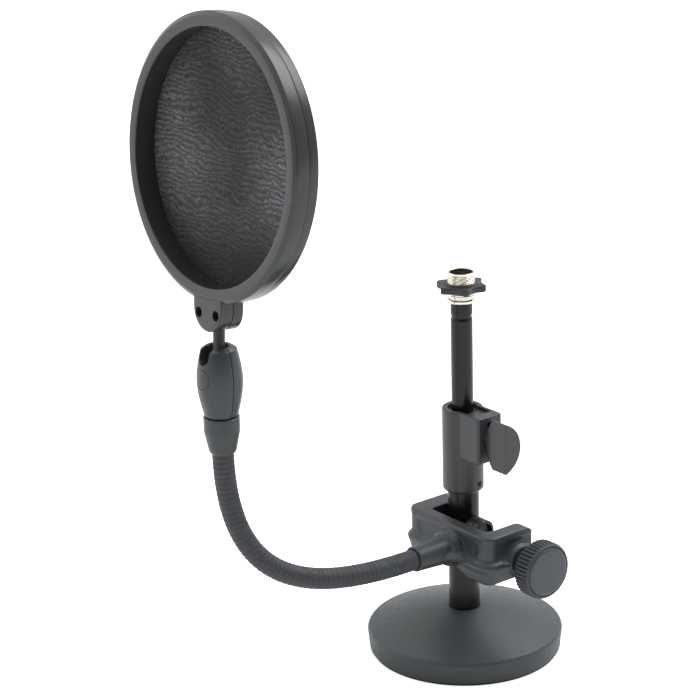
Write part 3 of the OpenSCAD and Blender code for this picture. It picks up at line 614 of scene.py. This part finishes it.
def knob_teeth(r, z, a):
    """The ribs round the knob, run out at both ends."""
    if not TEETH_LOW < z < TEETH_HIGH or r < 15.2:
        return r
    ends = min(1, (z - TEETH_LOW) / 0.8, (TEETH_HIGH - z) / 0.8)
    wave = 0.5 - 0.5 * cos(TEETH * a)
    return r - 1.35 * ends * wave ** 1.4


knob_section = [
    (4, -9.0), (7.6, -9.0, 0.5), (7.8, -1, 0.5), (8.4, 0, 0.3), (14.8, 0, 0.5), (16.5, 1.0), (KNOB_R, 1.9),
    (KNOB_R, 3.5), (KNOB_R, 6.5), (KNOB_R, 8.3), (16.6, 9.2), (16.3, 9.9), (15.7, 10.7, 0.6),
    (14.6, 11.0, 0.4), (14.5, 9.8), (4, 9.8)]
knob = spin("clamp_knob_ribbed", knob_section, "clamp_plastic", n=TEETH * 10, place=minus_y(KNOB_Y, SCREW_Z),
            change=knob_teeth, steps=3)
done(shaded(knob, 60), "spindle", "clamp_plastic", "clamp_knob")
cap_section = [(0, 9.85), (14.4, 9.85), (14.4, 10.4), (14.15, 11.0, 0.5), (12.9, 11.55, 1.6), (8, 11.75, 4),
               (0, 11.8)]
cap = spin("knob_cap_disc", cap_section, "cap_plastic", n=112, place=minus_y(KNOB_Y, SCREW_Z))
done(shaded(cap, 40), "spindle", "cap_plastic", "knob_cap")

# ---------------------------------------------------------------- gooseneck
# The centre line is one cubic curve from ROOT, in the clamp, to TOP, in the swivel's collar.
ROOT_TURN = ROOT + Vector((-71.5, 0, 0))
TOP_TURN = TOP + Vector((0, 0, -85))
NECK_R, RIB, RIB_DEPTH = 6.1, 3.0, 0.28


def neck_at(t):
    return (ROOT * (1 - t) ** 3 + ROOT_TURN * (3 * t * (1 - t) ** 2) + TOP_TURN * (3 * t * t * (1 - t))
            + TOP * t ** 3)


def neck_dir(t):
    return ((ROOT_TURN - ROOT) * (1 - t) ** 2 + (TOP_TURN - ROOT_TURN) * (2 * t * (1 - t))
            + (TOP - TOP_TURN) * t * t).normalized()


FINE = 4000
along = [0.0]
for i in range(FINE):
    along.append(along[-1] + (neck_at((i + 1) / FINE) - neck_at(i / FINE)).length)


def t_at(s):
    """The curve's parameter at the distance s along it."""
    lo, hi = 0, FINE
    while hi - lo > 1:
        mid = (lo + hi) // 2
        lo, hi = (mid, hi) if along[mid] <= s else (lo, mid)
    return (lo + (s - along[lo]) / (along[hi] - along[lo])) / FINE


def s_at(t):
    return along[round(t * FINE)]


def neck_piece(name, s0, s1):
    """The ribbed sleeve between two lengths along the centre line, both in mm."""
    sides, step = 48, 0.375
    angles = [2 * pi * k / sides for k in range(sides)]
    count = ceil((s1 - s0) / step)
    verts, faces = [], []
    for i in range(count + 1):
        s = s0 + (s1 - s0) * i / count
        t = t_at(min(max(s, 0), along[-1]))
        d = neck_dir(t)
        p = neck_at(t) + d * (s - min(max(s, 0), along[-1]))
        u = Vector((0, 1, 0)).cross(d).normalized()
        w = d.cross(u)
        groove = (0.5 + 0.5 * cos(2 * pi * s / RIB)) ** 4
        r = NECK_R - RIB_DEPTH * groove
        verts += [tuple(p + (u * cos(a) + w * sin(a)) * r) for a in angles]
    for i in range(count):
        for k in range(sides):
            j = (k + 1) % sides
            faces.append((i * sides + k, i * sides + j, (i + 1) * sides + j, (i + 1) * sides + k))
    faces += [tuple(range(sides)), tuple(range(count * sides, (count + 1) * sides))[::-1]]
    return shaded(piece(name, verts, faces, "neck_rubber"), 60)


# JOINT_T is where the three hinges lie on the curve.
JOINT_T = (0.23, 0.48, 0.74)
mids = [-3.0] + [(s_at(JOINT_T[i]) + s_at(JOINT_T[i + 1])) / 2 for i in (0, 1)] + [along[-1] + 3.0]
held = [("neck_sleeve_1", "neck_core_1", "neck_core_2"), ("neck_sleeve_2", "neck_core_3", "neck_sleeve_3"),
        ("neck_sleeve_4", "neck_core_4")]
for i in range(3):
    ob = neck_piece(f"neck_sleeve_ribbed_{i + 1}", mids[i], mids[i + 1])
    s = s_at(JOINT_T[i])
    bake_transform(ob)
    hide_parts(*held[i])

# ---------------------------------------------------------------- swivel
at_swivel = Matrix.Translation((TOP.x, TOP.y, 0))
BALL_Z = 215


def mould_line(r, z, a):
    """A fine raised line down two sides, where the mould closed."""
    side = min(abs(a - 1.5 * pi), abs(a - 0.5 * pi))
    return r + (0.09 * max(0, 1 - side / 0.03) if r > 7 else 0)


collar_section = [
    (6.15, 161.0), (7.1, 161.0, 0.3), (7.7, 162.2, 0.4), (10, 173.4, 3), (10, 181.6, 0.5), (9.5, 182, 0.3),
    (4.5, 182), (4.5, 187), (6, 187), (6, 189), (0, 189), (0, 176.3), (6.15, 176.3)]
swivel_collar = spin("swivel_collar_turned", collar_section, "swivel_plastic", n=176, place=at_swivel,
                     change=mould_line)
done(shaded(swivel_collar, 40), "neck_high", "swivel_plastic", "swivel_collar")
for half in ("swivel_front", "swivel_rear"):
    ob = melt(from_node(half + "_shell", half, "swivel_plastic"), 0.3, 3)
    done(ob, "swivel", "swivel_plastic", half)
swivel_cap = melt(from_node("swivel_cap_disc", "swivel_cap", "swivel_plastic"), 0.2, 3)
done(swivel_cap, "swivel", "swivel_plastic", "swivel_cap")

# ---------------------------------------------------------------- ball stud and filter
# the post's lean at rest, about X, Y and Z
LEAN = [radians(v) for v in (-4.7, 6.35, -1.08)]
at_ball = (Matrix.Translation((TOP.x, TOP.y, BALL_Z)) @ Matrix.Rotation(LEAN[2], 4, "Z")
           @ Matrix.Rotation(LEAN[1], 4, "Y") @ Matrix.Rotation(LEAN[0], 4, "X"))
REACH_F = 108.3
at_ring = at_ball @ plus_x(0, 0, REACH_F)
ball = [(6 * sin(i * pi / 24), -6 * cos(i * pi / 24)) for i in range(20)]
post = [(3.3, 5.6), (3.3, 18.9), (4.5, 19), (4.5, 21), (3.3, 21), (3.3, 22), (0, 22)]
stud = spin("ball_stud_turned", ball + post, "black_steel", n=64, place=at_ball, steps=0)
done(shaded(stud), "ball", "black_steel", "ball_stud")

RING_R, REAR_R, OPEN_R, MESH_R = 78, 77.3, 69.5, 74
FRONT_X, SPLIT, REAR_X, MESH_X = -7.85, 1.15, 7.85, 4.95
SHELL, GAP = 2.1, 0.3
SCREW_AT = [(y, 24.75) for y in (-7.8, 7.8)]
LUG_HALF, LUG_Z, POST_BORE = 11.3, 26.4, 3.32


def lug(x0, x1, half_width, centre_z, edge):
    """One slice of the lug between two x planes, with straight sides and a round lower end."""
    turns = [pi + i * pi / 32 for i in range(33)]
    outline = [(half_width, 34), (-half_width, 34)]
    outline += [(half_width * cos(a), centre_z + half_width * sin(a)) for a in turns]
    to_frame = at_ball @ Matrix(((0, 0, 1, 0), (1, 0, 0, 0), (0, 1, 0, 0), (0, 0, 0, 1)))
    return plate("cut", outline, x0, x1, edge, "ring_plastic", place=to_frame, steps=4)


def to_x(x, y, z):
    return at_ball @ plus_x(x, y, z)


front_section = [
    (OPEN_R, FRONT_X, 0.7), (75.2, FRONT_X, 0.25), (75.5, FRONT_X + 0.12, 0.15),
    (RING_R - 0.25, FRONT_X + 1.35, 0.7), (RING_R, SPLIT, 0.6), (RING_R - SHELL, SPLIT),
    (RING_R - SHELL, FRONT_X + SHELL), (OPEN_R + SHELL, FRONT_X + SHELL), (OPEN_R + SHELL, MESH_X, 0.3),
    (OPEN_R, MESH_X, 0.3)]
ring_f = spin("filter_ring_front", front_section, "ring_plastic", n=288, place=at_ring)
# the front half of the lug has a wider, thin plate in front
lug_f = lug(FRONT_X, FRONT_X + 2.3, 13.1, 28, 0.8)
combine(lug_f, [lug(FRONT_X + 1.2, SPLIT, LUG_HALF, LUG_Z, 0.25)], "UNION")
combine(lug_f, [rod(RING_R - 1.2, FRONT_X + 1.5, 20, at_ring, n=288), rod(75.6, -20, 20, at_ring, n=288),
                rod(POST_BORE, 4, 23, at_ball)], "DIFFERENCE")
for y, z in SCREW_AT:
    head_bore = rod(2.85, -1, 5.5, to_x(FRONT_X, y, z), n=40)
    shank_bore = rod(1.6, 5, 12, to_x(FRONT_X, y, z), n=24)
    combine(lug_f, [head_bore, shank_bore], "DIFFERENCE")
lug_f.name = "filter_lug_front"
done(shaded(ring_f, 35), "head", "ring_plastic", "front_ring")
done(shaded(lug_f, 35), "head", "ring_plastic")

rear_section = [
    (REAR_R, SPLIT + GAP, 0.6), (REAR_R, REAR_X, 1.1), (OPEN_R, REAR_X, 0.6), (OPEN_R, 6.75, 0.2),
    (REAR_R - SHELL, 6.75), (REAR_R - SHELL, SPLIT + GAP)]
ring_r = spin("filter_ring_rear", rear_section, "ring_plastic", n=288, place=at_ring)
lug_r = lug(SPLIT + GAP, REAR_X, LUG_HALF, LUG_Z, 0.1)
combine(lug_r, [rod(REAR_R - SHELL, -20, 20, at_ring, n=288), rod(POST_BORE, 4, 23, at_ball)], "DIFFERENCE")
for y, z in SCREW_AT:
    nut_pocket = rod(3.2, 4.85, 8, to_x(0, y, z), n=6)
    shank_bore = rod(1.6, 0, 9, to_x(0, y, z), n=32)
    combine(lug_r, [nut_pocket, shank_bore], "DIFFERENCE")
lug_r.name = "filter_lug_rear"
done(shaded(ring_r, 35), "head", "ring_plastic", "rear_ring")
done(shaded(lug_r, 35), "head", "ring_plastic")


def screen(name, x, mat, wave, node_name):
    """A taut round sheet with the faint ripples of stretched knit. Its rim lies on the hoop."""
    rings, sides, thick = 70, 192, 0.2
    verts, faces = [], []
    for face in (0, 1):
        for i in range(rings + 1):
            r = MESH_R * i / rings
            for k in range(sides):
                a = 2 * pi * k / sides
                fade = max(0.0, 1 - (r / 69) ** 6) * r / (r + 12)
                h = 0.16 * fade * sin(r * 0.16 + 2 * sin(3 * a + wave)) * cos(2 * a + wave)
                verts.append((r * cos(a), r * sin(a), x + h + face * thick))
    top = (rings + 1) * sides
    for i in range(rings):
        for k in range(sides):
            j = (k + 1) % sides
            q = (i * sides + k, i * sides + j, (i + 1) * sides + j, (i + 1) * sides + k)
            faces += [q[::-1], tuple(v + top for v in q)]
    rim = rings * sides
    for k in range(sides):
        j = (k + 1) % sides
        faces.append((rim + k, rim + j, top + rim + j, top + rim + k))
    ob = shaded(piece(name, verts, faces, mat, at_ring), 60)
    done(ob, "head", "screen_nylon", node_name)


screen("screen_front_knit", MESH_X + 0.03, "screen_front", 0.4, "front_mesh")
screen("screen_rear_knit", MESH_X + 1.58, "screen_rear", 2.1, "rear_mesh")

# ---------------------------------------------------------------- materials of the CAD nodes that stay
for row in frame["record"]["subparts"]:
    ob = NODES[row["node"]]
    mat = MAT.get(row["material_slot"]) or MAT["screen_front"]
    for s in ob.material_slots:
        s.material = mat

# ---------------------------------------------------------------- floor and light
FLOOR_HALF, FLOOR_GLOW = 9, 0.62
floor_mesh = bpy.data.meshes.new("floor")
corners = [(x * FLOOR_HALF, y * FLOOR_HALF, 0) for x, y in ((-1, -1), (1, -1), (1, 1), (-1, 1))]
floor_mesh.from_pydata(corners, [], [(0, 1, 2, 3)])
ground = bpy.data.objects.new("floor", floor_mesh)
scene.collection.objects.link(ground)
paper, tree, shader = new_material("paper")
at = node(tree, "TexCoord").outputs["Object"]
fibre = node(tree, "TexNoise", {"Vector": at, "Scale": 400, "Detail": 3})
tone = node(tree, "Mix", {"Factor": fibre.outputs[0], "A": (0.90, 0.90, 0.90, 1), "B": (0.94, 0.94, 0.94, 1)},
            data_type="RGBA")
tree.links.new(tone.outputs["Result"], shader.inputs["Base Color"])
# looked at directly, the floor is whiter than the light that it throws on the object
direct = node(tree, "LightPath").outputs["Is Camera Ray"]
glow = node(tree, "Math", {0: direct, 1: FLOOR_GLOW}, operation="MULTIPLY")
tree.links.new(glow.outputs[0], shader.inputs["Emission Strength"])
shader.inputs["Emission Color"].default_value = (1, 1, 1, 1)
shader.inputs["Roughness"].default_value = 0.9
shader.inputs["Specular IOR Level"].default_value = 0.1
floor_mesh.materials.append(paper)

# A light tent: bright to the left, behind and above, dimmer to the right, dark where the viewer stands,
# and one small lamp high on the right that shows on the ring's side.
# Each lobe is (direction, cosine where it starts, cosine where it is full, strength).
LOBES = (((-0.80, 0.60, 0.10), 0.25, 0.95, 0.95), ((0.90, -0.40, 0.15), 0.35, 0.95, 0.55),
         ((0.45, 0.80, 0.35), -0.1, 0.90, 0.75), ((0, 0, 1), 0.35, 1.0, 0.55),
         ((0.58, -0.18, 0.79), 0.90, 0.985, 4.5))
world = bpy.data.worlds.new("studio")
scene.world = world
world.use_nodes = True
tree = world.node_tree
tree.nodes.clear()
out = node(tree, "OutputWorld")
way = node(tree, "TexCoord").outputs["Generated"]
total = 0.10
for towards, wide, narrow, gain in LOBES:
    side = node(tree, "VectorMath", {0: way, 1: Vector(towards).normalized()}, operation="DOT_PRODUCT")
    lobe = node(tree, "MapRange", {"Value": side.outputs["Value"], "From Min": wide, "From Max": narrow,
                                   "To Min": 0, "To Max": gain}, interpolation_type="SMOOTHSTEP")
    total = node(tree, "Math", {0: lobe.outputs[0], 1: total}, operation="ADD").outputs[0]
sky = node(tree, "Background", {"Color": (0.97, 0.985, 1, 1), "Strength": total})
seen = node(tree, "Background", {"Color": (1, 1, 1, 1), "Strength": 1.0})
# looked at directly, the surroundings are plain white, and only the light they throw is shaped
direct = node(tree, "LightPath").outputs["Is Camera Ray"]
mixed = node(tree, "MixShader", {"Fac": direct, 1: sky.outputs[0], 2: seen.outputs[0]})
tree.links.new(mixed.outputs[0], out.inputs[0])

sun = bpy.data.lights.new("overhead", "SUN")
sun.energy, sun.angle = 0.7, 1.2
lamp = bpy.data.objects.new("overhead", sun)
lamp.location = Vector((0.2, -0.2, 3))
lamp.rotation_euler = lamp.location.to_track_quat("Z", "Y").to_euler()
scene.collection.objects.link(lamp)
